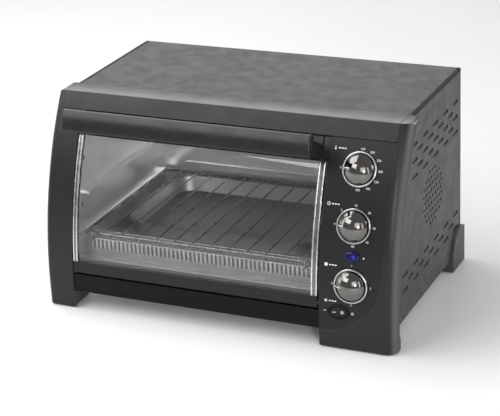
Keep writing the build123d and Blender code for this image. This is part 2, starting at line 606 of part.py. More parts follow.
def make_handle_posts():
    """Two posts from the door's top frame to the back of the handle."""
    foot, head = Vector(*HANDLE_FOOT), Vector(*HANDLE_HEAD)
    along = (head - foot).normalized()
    inward = Vector(along.Y, -along.X)
    back_mid = (foot + head) * 0.5 + inward * HANDLE_DEPTH
    posts = []
    for x in POST_X:
        middle = front_plane((x[0] + x[1]) / 2, POST_Z, 0.6)
        base = middle * RectangleRounded(x[1] - x[0], POST_HEIGHT, 3)
        tip_plane = Plane(origin=((x[0] + x[1]) / 2, back_mid.X, back_mid.Y), x_dir=(1, 0, 0),
                          z_dir=(0, -inward.X, -inward.Y))
        tip = tip_plane * RectangleRounded(x[1] - x[0], POST_HEIGHT, 3)
        posts.append(loft([base, tip]).solid())
    return Compound(posts)


# ---- loose pieces ----
def make_rack():
    """Wire rack: thick side rails, cross wires at both ends and thin wires from front to back."""
    left, right = RACK_X
    front, back = RACK_Y
    wires = [rod(RACK_RAIL_R, (x, front, RACK_Z), (x, back, RACK_Z)) for x in (left, right)]
    for y in (front + 2.1, front + 10.0, back - 2.1):
        wires.append(rod(RACK_CROSS_R, (left, y, RACK_Z), (right, y, RACK_Z)))
    for i in range(1, RACK_GAPS):
        x = left + (right - left) * i / RACK_GAPS
        wires.append(rod(RACK_WIRE_R, (x, front + 2.1, RACK_Z + 0.9), (x, back - 2.1, RACK_Z + 0.9)))
    return Part() + wires


def make_rack_hooks():
    """Wire loops in front of the rack that the opening door catches."""
    hooks = []
    front = RACK_Y[0]
    for x in (RACK_X[0] + 16, RACK_X[1] - 16):
        loop = Plane(origin=(x, front - 6.5, RACK_Z + 1.5), z_dir=(1, 0, 0)) * Torus(5.0, 1.2)
        loop += rod(1.0, (x, front + 0.4, RACK_Z + 0.7), (x, front - 2.0, RACK_Z + 1.3))
        hooks.append(loop.solid())
    return Compound(hooks)


def make_pan():
    pan = rounded_tray(PAN_X, PAN_Y, PAN_FLOOR, PAN_RIM, PAN_CORNER_R, PAN_WALL, PAN_FLARE)
    cx, cy = sum(PAN_X) / 2, sum(PAN_Y) / 2
    wide, deep = PAN_X[1] - PAN_X[0], PAN_Y[1] - PAN_Y[0]
    lip = extrude(RectangleRounded(wide + 2 * PAN_LIP, deep + 2 * PAN_LIP, PAN_CORNER_R + 2), 1.6)
    lip -= Pos(0, 0, -1) * extrude(RectangleRounded(wide - 2.2, deep - 2.2, PAN_CORNER_R - 1), 5)
    return pan + Pos(cx, cy, PAN_RIM - 1.6) * lip


def make_crumb_tray():
    """Flat tray with a low edge strip along each side."""
    floor = block(TRAY_X, (-127.0, REAR_Y + 1.0), (TRAY_Z, TRAY_Z + SHEET))
    edges = [block(x, (-127.0, REAR_Y - 3.0), (TRAY_Z + SHEET, TRAY_Z + 5))
             for x in ((TRAY_X[0], TRAY_X[0] + SHEET), (TRAY_X[1] - SHEET, TRAY_X[1]))]
    return Compound([floor] + edges)


def make_tray_pull():
    """Plate that closes the tray's slot in the back panel, with a finger grip along its top."""
    plate = block((-203.0, 141.0), (REAR_Y + 1.0, REAR_Y + 2.2), (TRAY_Z - 4.0, TRAY_Z + 14.0))
    grip = block((-91.0, 29.0), (REAR_Y + 2.2, REAR_Y + 9.0), (TRAY_Z + 12.5, TRAY_Z + 14.0))
    return Compound([plate, grip])


def make_tray_runners():
    runners = []
    for inner, out in ((CAVITY_X[0], 1), (CAVITY_X[1], -1)):
        x = sorted((inner, inner + out * 9))
        runners.append(block(x, (-120.0, CAVITY_BACK - 1.0), (TRAY_Z - 1.6, TRAY_Z - 0.05)))
    return Compound(runners)


# ---- feet, gland, screws ----
def foot_cheek(side):
    """Thin outer wall of a rear foot that laps over the side panel, with a curved front edge."""
    back = FOOT_BACK - FOOT_R
    with BuildSketch(Plane.YZ) as outline:
        with BuildLine():
            Line((CHEEK_LOW[0], PAD), (back, PAD))
            Line((back, PAD), (back, FOOT_HEIGHT))
            Line((back, FOOT_HEIGHT), CHEEK_TOP)
            ThreePointArc(CHEEK_TOP, CHEEK_MID, CHEEK_LOW)
            Line(CHEEK_LOW, (CHEEK_LOW[0], PAD))
        make_face()
    inner = BODY_HALF + 0.1
    cheek = extrude(outline.sketch, amount=FOOT_X[1] - inner)
    return Pos(inner if side > 0 else -FOOT_X[1], 0, 0) * cheek


def make_rear_feet():
    feet = []
    for side in (-1, 1):
        x = tuple(sorted(side * edge for edge in FOOT_X))
        heel = block(x, (REAR_Y + 0.05, FOOT_BACK), (PAD, FOOT_HEIGHT))
        tread = block(x, (CHEEK_LOW[0], FOOT_BACK), (PAD, BODY_BOTTOM - 0.1))
        foot = heel + tread
        outer = [e for e in foot.edges().filter_by(Axis.Z)
                 if abs(e.center().X - side * FOOT_X[1]) < 0.1 and e.center().Y > FOOT_BACK - 0.1]
        top = [e for e in foot.edges().filter_by(Axis.X)
               if e.center().Z > FOOT_HEIGHT - 0.1 and e.center().Y > FOOT_BACK - 0.1]
        feet.append((fillet(outer + top, FOOT_R) + foot_cheek(side)).solid())
    return Compound(feet)


def make_foot_pads():
    spots = [((-232.0, -209.0), (-145.0, -114.0)), ((150.0, 222.0), (-145.0, -114.0))]
    spots += [((side * 218.0 - 11.0, side * 218.0 + 11.0), (112.0, 152.0)) for side in (-1, 1)]
    pads = []
    for x, y in spots:
        pad = block(x, y, (0.0, PAD))
        pads.append(fillet(pad.edges().filter_by(Axis.Z), 3.0).solid())
    return Compound(pads)


def make_cord_gland():
    flange = rod(11.0, (GLAND_X, REAR_Y, GLAND_Z), (GLAND_X, REAR_Y + 3, GLAND_Z))
    neck = rod(7.4, (GLAND_X, REAR_Y - 5, GLAND_Z), (GLAND_X, REAR_Y + 8, GLAND_Z))
    bore = rod(3.6, (GLAND_X, REAR_Y - 9, GLAND_Z), (GLAND_X, REAR_Y + 9, GLAND_Z))
    return flange + neck - bore


def make_back_screws():
    screws = []
    for x, z in BACK_SCREWS:
        head = rod(3.6, (x, REAR_Y, z), (x, REAR_Y + 1.8, z))
        stem = rod(1.8, (x, REAR_Y - 6, z), (x, REAR_Y + 0.5, z))
        cross = block((x - 2, x + 2), (REAR_Y + 0.9, REAR_Y + 3), (z - 0.4, z + 0.4))
        cross += block((x - 0.4, x + 0.4), (REAR_Y + 0.9, REAR_Y + 3), (z - 2, z + 2))
        screws.append((head + stem - cross).solid())
    return Compound(screws)


def make_liner_screws():
    screws = []
    for y, z in LINER_SCREWS:
        for inner, out in ((CAVITY_X[0], 1), (CAVITY_X[1], -1)):
            head = rod(3.2, (inner, y, z), (inner + out * 1.7, y, z))
            stem = rod(1.55, (inner - out * 5, y, z), (inner + out * 0.5, y, z))
            screws.append((head + stem).solid())
    return Compound(screws)


# ---- assembly ----
parts["header"] = make_header()
parts["left_tower"] = make_left_tower()
parts["right_tower"] = make_right_tower()
parts["control_panel"] = make_control_panel()
parts["bottom_rail"] = make_bottom_rail()
parts["side_panel_left"] = make_side_panel(-1)
parts["side_panel_right"] = make_side_panel(1)
parts["top_panel"] = make_top_panel()
parts["back_panel"] = make_back_panel()
parts["base_plate"] = make_base_plate()
parts["liner_left"] = make_liner_wall(-1)
parts["liner_right"] = make_liner_wall(1)
parts["rack_supports"] = make_rack_supports()
parts["liner_top"] = make_liner_top()
parts["liner_back"] = make_liner_back()
parts["front_sill"] = make_front_sill()
parts["element_guard"] = make_element_guard()
parts["upper_elements"] = make_elements(UPPER_ELEMENTS)
parts["lower_elements"] = make_elements(LOWER_ELEMENTS)
parts["element_insulators"] = make_insulators()
parts["fan_motor"] = make_motor()
parts["motor_bracket"] = make_motor_bracket()
parts["fan_shaft"] = rod(SHAFT_R, (133.0, FAN_Y, FAN_Z), (216.0, FAN_Y, FAN_Z))
parts["convection_fan"] = make_blades(CAVITY_FAN_X, 8.0, 31.0, 6, 34.0)
parts["cooling_fan"] = make_blades(COOLING_FAN_X, 10.0, 36.0, 7, 38.0)
parts["fan_cover"] = make_fan_cover()
parts["thermostat"] = make_control(KNOB_Z["temperature"], (36.0, 30.0), 22.0)
parts["timer_mechanism"] = make_control(KNOB_Z["timer"], (42.0, 42.0), 26.0)
parts["toast_control"] = make_control(KNOB_Z["toast"], (36.0, 36.0), 20.0)
parts["timer_bell"] = make_bell()
for label, height in KNOB_Z.items():
    parts[label + "_knob"] = make_knob(height)
    parts[label + "_shaft"] = make_knob_shaft(height)
parts["knob_rings"] = make_knob_rings()
parts["panel_nuts"] = make_panel_nuts()
parts["indicator_lens"] = make_indicator_lens()
parts["indicator_lamp"] = make_indicator_lamp()
parts["rocker_housing"] = make_rocker_housing()
parts["rocker"] = make_rocker()
parts["door_glass"] = make_door_glass()
parts["door_top_frame"] = make_door_top_frame()
parts["door_bottom_frame"] = make_door_bottom_frame()
parts["door_side_trims"] = make_door_side_trims()
parts["door_hinge_pins"] = make_hinge_pins()
parts["handle"] = make_handle()
parts["handle_posts"] = make_handle_posts()
parts["rack"] = make_rack()
parts["rack_hooks"] = make_rack_hooks()
parts["pan"] = make_pan()
parts["crumb_tray"] = make_crumb_tray()
parts["tray_pull"] = make_tray_pull()
parts["tray_runners"] = make_tray_runners()
parts["rear_feet"] = make_rear_feet()
parts["foot_pads"] = make_foot_pads()
parts["cord_gland"] = make_cord_gland()
parts["back_screws"] = make_back_screws()
parts["liner_screws"] = make_liner_screws()

os.makedirs("parts", exist_ok=True)
for name, shape in parts.items():
    export_step(shape, "parts/" + name + ".step")
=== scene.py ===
import json
import math

import bpy
from mathutils import Matrix, Vector


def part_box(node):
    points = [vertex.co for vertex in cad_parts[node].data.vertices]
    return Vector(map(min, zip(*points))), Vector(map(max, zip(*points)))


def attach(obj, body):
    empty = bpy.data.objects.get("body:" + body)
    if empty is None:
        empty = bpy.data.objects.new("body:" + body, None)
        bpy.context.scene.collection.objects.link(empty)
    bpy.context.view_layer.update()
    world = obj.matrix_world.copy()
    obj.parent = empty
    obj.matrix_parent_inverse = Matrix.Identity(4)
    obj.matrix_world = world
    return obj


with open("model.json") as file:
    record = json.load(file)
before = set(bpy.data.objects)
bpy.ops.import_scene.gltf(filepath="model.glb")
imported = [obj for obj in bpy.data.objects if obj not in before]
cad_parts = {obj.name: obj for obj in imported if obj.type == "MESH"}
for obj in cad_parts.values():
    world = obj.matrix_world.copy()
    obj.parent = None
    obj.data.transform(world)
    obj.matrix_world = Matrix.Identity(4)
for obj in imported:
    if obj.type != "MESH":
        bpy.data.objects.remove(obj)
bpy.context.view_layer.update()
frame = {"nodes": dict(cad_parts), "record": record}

MM = 0.001
JOINTS = {joint["name"]: joint for joint in frame["record"]["behaviour"]["joints"]}

# The moulded front is upright up to ARC_Z, then an arc of ARC_R that leans back.
ARC_R, ARC_Z = 448.4 * MM, 32.1 * MM
FRONT_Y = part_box("left_tower")[0].y
ARC_Y = FRONT_Y + ARC_R


# ---- camera ----
def add_camera():
    """Camera at the photograph's viewing angle: a long lens, high and to the oven's right."""
    azimuth, elevation, roll = math.radians(24.79), math.radians(22.24), math.radians(-2.75)
    target, distance = Vector((-0.0132, 0.0, 0.1067)), 2.2624
    forward = Vector((-math.sin(azimuth) * math.cos(elevation),
                      math.cos(azimuth) * math.cos(elevation), -math.sin(elevation)))
    right = Vector((math.cos(azimuth), math.sin(azimuth), 0))
    up = right.cross(forward)
    turned_right = right * math.cos(roll) + up * math.sin(roll)
    turned_up = up * math.cos(roll) - right * math.sin(roll)
    data = bpy.data.cameras.new("camera")
    data.lens, data.sensor_width = 123.35, 36.0
    data.clip_start, data.clip_end = 0.05, 30.0
    camera = bpy.data.objects.new("camera", data)
    turn = Matrix((turned_right, turned_up, -forward)).transposed().to_4x4()
    camera.matrix_world = Matrix.Translation(target - forward * distance) @ turn
    bpy.context.scene.collection.objects.link(camera)
    bpy.context.scene.camera = camera


# ---- materials ----
NOISE_LOW, NOISE_HIGH = 0.3, 0.7    # noise values that a ramp or remap starts and ends at
# How much further moulded plastic is lightened by painted highlight: on bends towards the sides, and on
# tops near the front.
PAINTED_BEND_LIGHT, PAINTED_BROW_LIGHT = 1.45, 4.2


class Finish:
    """A node material with one Principled shader, built up by a few short calls."""

    def __init__(self, name, colour, roughness, metallic=0.0, specular=0.5):
        self.material = bpy.data.materials.new(name)
        self.material.use_nodes = True
        self.nodes = self.material.node_tree.nodes
        self.links = self.material.node_tree.links
        self.shader = self.nodes["Principled BSDF"]
        self.colour = colour
        self.shader.inputs["Base Color"].default_value = (*colour, 1)
        self.shader.inputs["Roughness"].default_value = roughness
        self.shader.inputs["Metallic"].default_value = metallic
        self.shader.inputs["Specular IOR Level"].default_value = specular
        self.place = self.nodes.new("ShaderNodeTexCoord")

    def node(self, kind, **settings):
        made = self.nodes.new(kind)
        for name, value in settings.items():
            setattr(made, name, value)
        return made

    def noise(self, scale, detail):
        """Noise in the piece's own coordinates; scale is in features per metre."""
        noise = self.node("ShaderNodeTexNoise")
        noise.inputs["Scale"].default_value = scale
        noise.inputs["Detail"].default_value = detail
        self.links.new(self.place.outputs["Object"], noise.inputs["Vector"])
        return noise.outputs["Fac"]

    def parts_of(self, output):
        """Separate the X, Y and Z of the piece's own Object place or Normal."""
        split = self.node("ShaderNodeSeparateXYZ")
        self.links.new(self.place.outputs[output], split.inputs["Vector"])
        return split.outputs

    def spread(self, value, low, high, start=NOISE_LOW, end=NOISE_HIGH):
        """Remap a value so that start..end becomes low..high, with eased ends."""
        remap = self.node("ShaderNodeMapRange", interpolation_type="SMOOTHSTEP")
        for name, number in (("From Min", start), ("From Max", end), ("To Min", low), ("To Max", high)):
            remap.inputs[name].default_value = number
        self.links.new(value, remap.inputs["Value"])
        return remap.outputs["Result"]

    def vary_colour(self, value, amount):
        """Lighten and darken the base colour by up to amount."""
        ramp = self.node("ShaderNodeValToRGB")
        ramp.color_ramp.interpolation = "EASE"
        stops = ((1 - amount, NOISE_LOW), (1 + amount, NOISE_HIGH))
        for element, (factor, position) in zip(ramp.color_ramp.elements, stops):
            element.position = position
            element.color = (*[channel * factor for channel in self.colour], 1)
        self.links.new(value, ramp.inputs["Fac"])
        self.links.new(ramp.outputs["Color"], self.shader.inputs["Base Color"])
        return self

    def scale_colour(self, gain):
        """Multiply the colour by a value that changes over the surface."""
        scaled = self.node("ShaderNodeVectorMath", operation="SCALE")
        self.links.new(self.shader.inputs["Base Color"].links[0].from_socket, scaled.inputs[0])
        self.links.new(gain, scaled.inputs["Scale"])
        self.links.new(scaled.outputs["Vector"], self.shader.inputs["Base Color"])
        return self

    def times(self, first, second):
        """Product of two values."""
        product = self.node("ShaderNodeMath", operation="MULTIPLY")
        self.links.new(first, product.inputs[0])
        self.links.new(second, product.inputs[1])
        return product.outputs["Value"]

    def rise_and_settle(self, value, peak, flat, start):
        """Grow from one to peak past start, then settle to flat where value reaches one."""
        return self.times(self.spread(value, 1.0, peak, start, 0.78),
                          self.spread(value, 1.0, flat / peak, 0.84, 0.995))

    def paint_light_by_facing(self, sides, top):
        """Paint light into the colour: lighten surfaces that face sideways or upwards, most on the bends.
        """
        facing = self.parts_of("Normal")
        across = self.node("ShaderNodeMath", operation="ABSOLUTE")
        self.links.new(facing["X"], across.inputs[0])
        # Painted highlight on the bends towards the sides, settling to the sides' gain.
        painted_side_light = self.rise_and_settle(across.outputs["Value"], PAINTED_BEND_LIGHT * sides, sides, 0.45)
        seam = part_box("header")[1].y
        # Painted highlight on upward faces in front of the header's seam.
        brow = self.spread(self.parts_of("Object")["Y"], PAINTED_BROW_LIGHT, 1.0, seam - 27 * MM, seam - 4 * MM)
        upward = self.spread(facing["Z"], 0.0, 1.0, 0.50, 0.86)
        painted_top_light = self.node("ShaderNodeMath", operation="MULTIPLY_ADD")
        self.links.new(self.times(brow, upward), painted_top_light.inputs[0])
        painted_top_light.inputs[1].default_value, painted_top_light.inputs[2].default_value = top, 1.0
        return self.scale_colour(self.times(painted_side_light, painted_top_light.outputs["Value"]))

    def vary_roughness(self, value, low, high):
        self.links.new(self.spread(value, low, high), self.shader.inputs["Roughness"])
        return self

    def bump(self, value, height, strength=1.0):
        """Raise the surface by height metres where the value goes from 0 to 1."""
        bump = self.node("ShaderNodeBump")
        bump.inputs["Distance"].default_value = height
        bump.inputs["Strength"].default_value = strength
        self.links.new(value, bump.inputs["Height"])
        self.links.new(bump.outputs["Normal"], self.shader.inputs["Normal"])
        return self


def powder_coat(name, colour, roughness=0.42):
    """Fine orange-peel powder coat on sheet metal."""
    finish = Finish(name, colour, roughness, specular=0.35)
    finish.vary_colour(finish.noise(900, 2.0), 0.10)
    finish.vary_roughness(finish.noise(60, 3.0), roughness - 0.05, roughness + 0.06)
    return finish.bump(finish.noise(1500, 2.0), 0.00010).material


def moulded(name, colour, roughness, grain=0.00006, sides=1.0, top=1.0, gloss=0.24):
    """Moulded plastic with a fine spark-eroded grain and painted light; sides and top are gains of painted
    light by facing.
    """
    finish = Finish(name, colour, roughness, specular=gloss)
    finish.vary_colour(finish.noise(1400, 2.0), 0.07)
    finish.paint_light_by_facing(sides, top)
    finish.vary_roughness(finish.noise(35, 3.0), roughness - 0.04, roughness + 0.05)
    return finish.bump(finish.noise(2600, 1.0), grain).material


def sheet_steel(name, colour, roughness, spangle=0.06, metallic=1.0):
    """Aluminised or galvanised sheet with a soft cloudy spangle."""
    finish = Finish(name, colour, roughness, metallic=metallic)
    finish.vary_colour(finish.noise(45, 2.0), spangle)
    finish.vary_roughness(finish.noise(14, 1.0), roughness - 0.004, roughness + 0.006)
    return finish.bump(finish.noise(900, 1.0), 0.00002).material


def guard_with_painted_shade(name):
    """Dull sheet with painted shade: much darker over the lower elements, behind its bright front edge."""
    finish = Finish(name, (0.34, 0.34, 0.345), 0.38, metallic=0.9)
    finish.vary_colour(finish.noise(45, 2.0), 0.05)
    finish.vary_roughness(finish.noise(14, 1.0), 0.35, 0.43)
    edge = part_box("element_guard")[0].y + 18 * MM
    # Painted shade: the deck behind the front edge is darkened to 0.22 of its colour.
    finish.scale_colour(finish.spread(finish.parts_of("Object")["Y"], 1.0, 0.22, edge, edge + 6 * MM))
    return finish.bump(finish.noise(7, 0.0), 0.0010, 0.3).material


def polished(name, colour, roughness):
    """Plated or polished metal with faint smudges."""
    finish = Finish(name, colour, roughness, metallic=1.0)
    finish.vary_colour(finish.noise(120, 3.0), 0.05)
    finish.vary_roughness(finish.noise(90, 4.0), roughness * 0.7, roughness * 1.5)
    return finish.material


def heated(name):
    """Element sheath: brown-grey oxide, darker and lighter in patches."""
    finish = Finish(name, (0.10, 0.085, 0.08), 0.5, metallic=0.7)
    finish.vary_colour(finish.noise(60, 4.0), 0.35)
    return finish.bump(finish.noise(900, 2.0), 0.00004).material


def ceramic(name):
    finish = Finish(name, (0.72, 0.68, 0.58), 0.6)
    finish.vary_colour(finish.noise(400, 3.0), 0.05)
    return finish.bump(finish.noise(1200, 2.0), 0.00005).material


def rubber(name):
    finish = Finish(name, (0.02, 0.02, 0.02), 0.8)
    finish.vary_colour(finish.noise(500, 2.0), 0.2)
    return finish.bump(finish.noise(1500, 2.0), 0.0001).material


def coated_pan(name):
    """Dark metallic non-stick coating with fine speckle, with painted light: paler on the walls than on the
    floor.
    """
    finish = Finish(name, (0.22, 0.214, 0.214), 0.34, metallic=0.8)
    finish.vary_colour(finish.noise(1800, 2.0), 0.12)
    finish.vary_roughness(finish.noise(50, 3.0), 0.30, 0.4)
    # Painted light and shade by facing: the walls lighter, the floor darker.
    painted_wall_light, painted_floor_shade = 1.7, 0.75
    finish.scale_colour(finish.spread(finish.parts_of("Normal")["Z"], painted_wall_light, painted_floor_shade, 0.5, 0.97))
    return finish.bump(finish.noise(1800, 2.0), 0.00003).material


def clear_glass(name):
    """Tempered glass that lets lamps shine through to the cavity."""
    finish = Finish(name, (0.99, 0.985, 0.98), 0.0, specular=0.12)
    finish.vary_colour(finish.noise(30, 3.0), 0.01)
    finish.shader.inputs["Transmission Weight"].default_value = 1.0
    finish.shader.inputs["IOR"].default_value = 1.45
    path = finish.node("ShaderNodeLightPath")
    clear = finish.node("ShaderNodeBsdfTransparent")
    clear.inputs["Color"].default_value = (0.95, 0.95, 0.95, 1)
    mix = finish.node("ShaderNodeMixShader")
    finish.links.new(path.outputs["Is Shadow Ray"], mix.inputs["Fac"])
    finish.links.new(finish.shader.outputs["BSDF"], mix.inputs[1])
    finish.links.new(clear.outputs["BSDF"], mix.inputs[2])
    finish.links.new(mix.outputs["Shader"], finish.nodes["Material Output"].inputs["Surface"])
    return finish.material


def lit_lens(name):
    """Translucent blue indicator, lit from behind and brightest just right of its middle."""
    finish = Finish(name, (0.001, 0.0015, 0.03), 0.12, specular=0.4)
    finish.vary_colour(finish.noise(300, 2.0), 0.1)
    low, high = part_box("indicator_lens")
    lamp = (low + high) / 2 + Vector((2.6 * MM, 0, 0))
    gap = finish.node("ShaderNodeVectorMath", operation="DISTANCE")
    gap.inputs[1].default_value = lamp
    finish.links.new(finish.place.outputs["Object"], gap.inputs[0])
    glow = finish.spread(gap.outputs["Value"], 2.4, 0.03, 0.5 * MM, 5.0 * MM)
    finish.shader.inputs["Emission Color"].default_value = (0.09, 0.11, 0.95, 1)
    finish.links.new(glow, finish.shader.inputs["Emission Strength"])
    return finish.material


def printed(name, colour):
    """Pad print, slightly uneven."""
    finish = Finish(name, colour, 0.5)
    finish.vary_colour(finish.noise(2500, 2.0), 0.08)
    return finish.material


def floor_paint(name):
    finish = Finish(name, (0.93, 0.93, 0.93), 0.55, specular=0.3)
    finish.vary_colour(finish.noise(3, 2.0), 0.01)
    return finish.material


MATERIALS = {
    "painted_sheet": powder_coat("powder_coat", (0.047, 0.047, 0.0475)),
    # The moulded front carries the strongest painted light: gains of 3.4 on its sides and 1.8 on its tops.
    "moulded_plastic": moulded("moulded_front", (0.019, 0.019, 0.0193), 0.32, 0.00006, 3.4, 1.8),
    "panel_plastic": moulded("control_panel", (0.014, 0.014, 0.0143), 0.36),
    "dark_plastic": moulded("dark_plastic", (0.004, 0.0034, 0.0034), 0.5, gloss=0.15),
    "handle_plastic": moulded("handle_plastic", (0.017, 0.017, 0.0175), 0.26, 0.00002, gloss=0.32),
    "rocker_plastic": moulded("rocker_plastic", (0.012, 0.012, 0.012), 0.18, 0.00001),
    "bare_sheet": sheet_steel("galvanised_sheet", (0.48, 0.48, 0.49), 0.38),
    "liner_steel": sheet_steel("aluminised_liner", (0.9, 0.9, 0.9), 0.28, 0.03, 0.8),
    "element_sheath": heated("element_sheath"),
    "ceramic_bush": ceramic("ceramic_bush"),
    "motor_steel": powder_coat("motor_laminations", (0.2, 0.2, 0.21), 0.5),
    "fan_aluminium": polished("fan_aluminium", (0.75, 0.75, 0.76), 0.28),
    "polished_steel": polished("polished_steel", (0.6, 0.6, 0.61), 0.2),
    "dark_chrome": polished("smoked_chrome", (0.175, 0.168, 0.16), 0.08),
    "bright_ring": polished("satin_silver", (0.50, 0.50, 0.51), 0.22),
    "blue_lens": lit_lens("blue_lens"),
    "lamp_body": polished("lamp_body", (0.3, 0.35, 0.9), 0.2),
    "door_glass": clear_glass("door_glass"),
    "dark_trim": moulded("door_frame_paint", (0.014, 0.0135, 0.0135), 0.3, 0.00002),
    "bright_trim": polished("brushed_trim", (0.20, 0.20, 0.198), 0.3),
    "rack_wire": polished("nickel_wire", (0.15, 0.148, 0.145), 0.3),
    "pan_coating": coated_pan("pan_coating"),
    "pad_rubber": rubber("pad_rubber"),
    "screw_steel": polished("screw_steel", (0.42, 0.42, 0.43), 0.3),
}
# Pieces whose finish differs from the rest of their slot.
DULL_STEEL = sheet_steel("baked_steel", (0.34, 0.34, 0.345), 0.38, 0.05, 0.9)
NODE_MATERIALS = {"element_guard": guard_with_painted_shade("guard_with_painted_shade"), "front_sill": DULL_STEEL,
                  "rear_feet": moulded("foot_plastic", (0.055, 0.055, 0.056), 0.4)}
PRINT = printed("white_print", (0.75, 0.75, 0.74))
INK = printed("dark_print", (0.04, 0.04, 0.04))
# CAD nodes whose edges are softened, and by how much.
SOFT_EDGES = {"door_side_trims": 0.5 * MM, "bottom_rail": 0.5 * MM}


def dress_cad_nodes():
    """Give every CAD node the finish of its record slot, and soften the edges of a few."""
    slots = {row["node"]: row["material_slot"] for row in frame["record"]["subparts"]}
    for name, width in SOFT_EDGES.items():
        piece = frame["nodes"][name]
        weld = piece.modifiers.new("weld", "WELD")
        weld.merge_threshold = 0.01 * MM
        soften = piece.modifiers.new("soften", "BEVEL")
        soften.width, soften.segments = width, 2
        soften.limit_method, soften.angle_limit = "ANGLE", math.radians(50)
    for name, piece in frame["nodes"].items():
        material = NODE_MATERIALS.get(name, MATERIALS[slots[name]])
        if not piece.data.materials:
            piece.data.materials.append(material)
        for index in range(len(piece.data.materials)):
            piece.data.materials[index] = material


# ---- mesh helpers ----
PRINT_THICKNESS = 0.06 * MM


def mesh_object(name, verts, faces, material, body):
    """Piece made of a mesh, riding a body, with one material."""
    mesh = bpy.data.meshes.new(name)
    mesh.from_pydata(verts, [], faces)
    mesh.update()
    mesh.materials.append(material)
    piece = bpy.data.objects.new(name, mesh)
    bpy.context.scene.collection.objects.link(piece)
    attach(piece, body)
    return piece


def front_point(x, z0, rise, lift):
    """Point on the front, rise metres up the surface from height z0, stood off by lift."""
    angle = math.asin(max(z0 - ARC_Z, 0) / ARC_R) + rise / ARC_R
    reach = ARC_R + lift
    if angle < 0:
        return Vector((x, FRONT_Y - lift, ARC_Z + angle * ARC_R))
    return Vector((x, ARC_Y - reach * math.cos(angle), ARC_Z + reach * math.sin(angle)))


def wrap_on_front(flat, x, z0, lift):
    """Lay a flat drawing (x right, y up, z out, in metres) on the curved front."""
    return [front_point(x + v[0], z0, v[1], lift + v[2]) for v in flat]


def text_mesh(text, size):
    """Thin mesh of a short text, centred on its middle."""
    curve = bpy.data.curves.new("text", "FONT")
    curve.body, curve.size = text, size
    curve.align_x, curve.align_y = "CENTER", "CENTER"
    curve.extrude = PRINT_THICKNESS / 2
    holder = bpy.data.objects.new("text", curve)
    mesh = bpy.data.meshes.new_from_object(holder)
    verts = [tuple(v.co) for v in mesh.vertices]
    faces = [tuple(p.vertices) for p in mesh.polygons]
    bpy.data.objects.remove(holder)
    bpy.data.meshes.remove(mesh)
    return verts, faces


class Drawing:
    """Flat shapes gathered into one mesh, to be laid on the curved front."""

    def __init__(self):
        self.verts, self.faces = [], []

    def add(self, verts, faces):
        start = len(self.verts)
        self.verts += verts
        self.faces += [tuple(start + i for i in face) for face in faces]

    def polygon(self, points):
        """Filled outline with a little thickness."""
        count = len(points)
        top = [(x, y, PRINT_THICKNESS) for x, y in points]
        low = [(x, y, 0.0) for x, y in points]
        sides = [(i, (i + 1) % count, count + (i + 1) % count, count + i) for i in range(count)]
        self.add(low + top, [tuple(range(count, 2 * count)), tuple(reversed(range(count)))] + sides)

    def bar(self, start, end, width):
        along = (Vector(end) - Vector(start)).normalized() * width / 2
        across = Vector((-along.y, along.x))
        a, b = Vector(start), Vector(end)
        self.polygon([tuple(a - across), tuple(b - across), tuple(b + across), tuple(a + across)])

    def ring(self, centre, outer, inner):
        steps = 24
        angles = [math.radians(360 * i / steps) for i in range(steps + 1)]
        for a, b in zip(angles, angles[1:]):
            corners = [(inner, a), (outer, a), (outer, b), (inner, b)]
            self.polygon([(centre[0] + r * math.sin(t), centre[1] + r * math.cos(t)) for r, t in corners])

    def disc(self, centre, radius, steps=20):
        angles = [2 * math.pi * i / steps for i in range(steps)]
        self.polygon([(centre[0] + radius * math.sin(t), centre[1] + radius * math.cos(t)) for t in angles])

    def text(self, text, centre, size):
        verts, faces = text_mesh(text, size)
        self.add([(x + centre[0], y + centre[1], z + PRINT_THICKNESS / 2) for x, y, z in verts], faces)

    def lay(self, name, x, z0, lift, material, body, slot):
        """Make the piece, with the drawing's origin at x and at height z0 on the curved front."""
        mesh_object(name, wrap_on_front(self.verts, x, z0, lift), self.faces, material, body)


# ---- control panel print ----
# Each dial's marks: degrees clockwise from the top, and the number there.
DIALS = {
    "temperature": {0: "150", 30: "200", 60: "250", 90: "300", 120: "350", 150: "400", 180: "450",
                    270: "0"},
    "timer": {0: "10", 45: "20", 90: "30", 135: "40", 180: "60", 270: "0", 315: "5"},
    "toast": {0: "1", 90: "2", 180: "3", 270: "0"},
}
REST_ANGLE = 270                    # the dials rest at their zero marks
PANEL_INSET = 0.5 * MM
NUMBER_R, NUMBER_SIZE, DIGIT_SHIFT = 24.9 * MM, 3.9 * MM, 0.45 * MM


def turned(radius, degrees):
    """Point on a dial, degrees clockwise from the top."""
    angle = math.radians(degrees)
    return (radius * math.sin(angle), radius * math.cos(angle))


def dial_centre(name):
    return Vector(JOINTS[name + "_turn"]["pos_m"])


def lay_on_panel(drawing, name, x, z):
    drawing.lay(name, x, z, -PANEL_INSET, PRINT, "oven", "panel_plastic")


def add_dial_print(name):
    """Numbers round a dial; those with more digits stand further out at the sides."""
    drawing = Drawing()
    for angle, label in DIALS[name].items():
        shift = DIGIT_SHIFT * (len(label) - 1) * abs(math.sin(math.radians(angle)))
        drawing.text(label, turned(NUMBER_R + shift, angle), NUMBER_SIZE)
    centre = dial_centre(name)
    lay_on_panel(drawing, name + "_numbers", centre.x, centre.z)


def draw_thermometer(drawing):
    drawing.disc((0, -1.2 * MM), 1.1 * MM)
    drawing.bar((0, -1.0 * MM), (0, 2.2 * MM), 0.9 * MM)


def draw_clock(drawing):
    drawing.ring((0, 0), 2.2 * MM, 1.6 * MM)
    drawing.bar((0, 0), (0, 1.3 * MM), 0.4 * MM)
    drawing.bar((0, 0), (0.9 * MM, 0), 0.4 * MM)


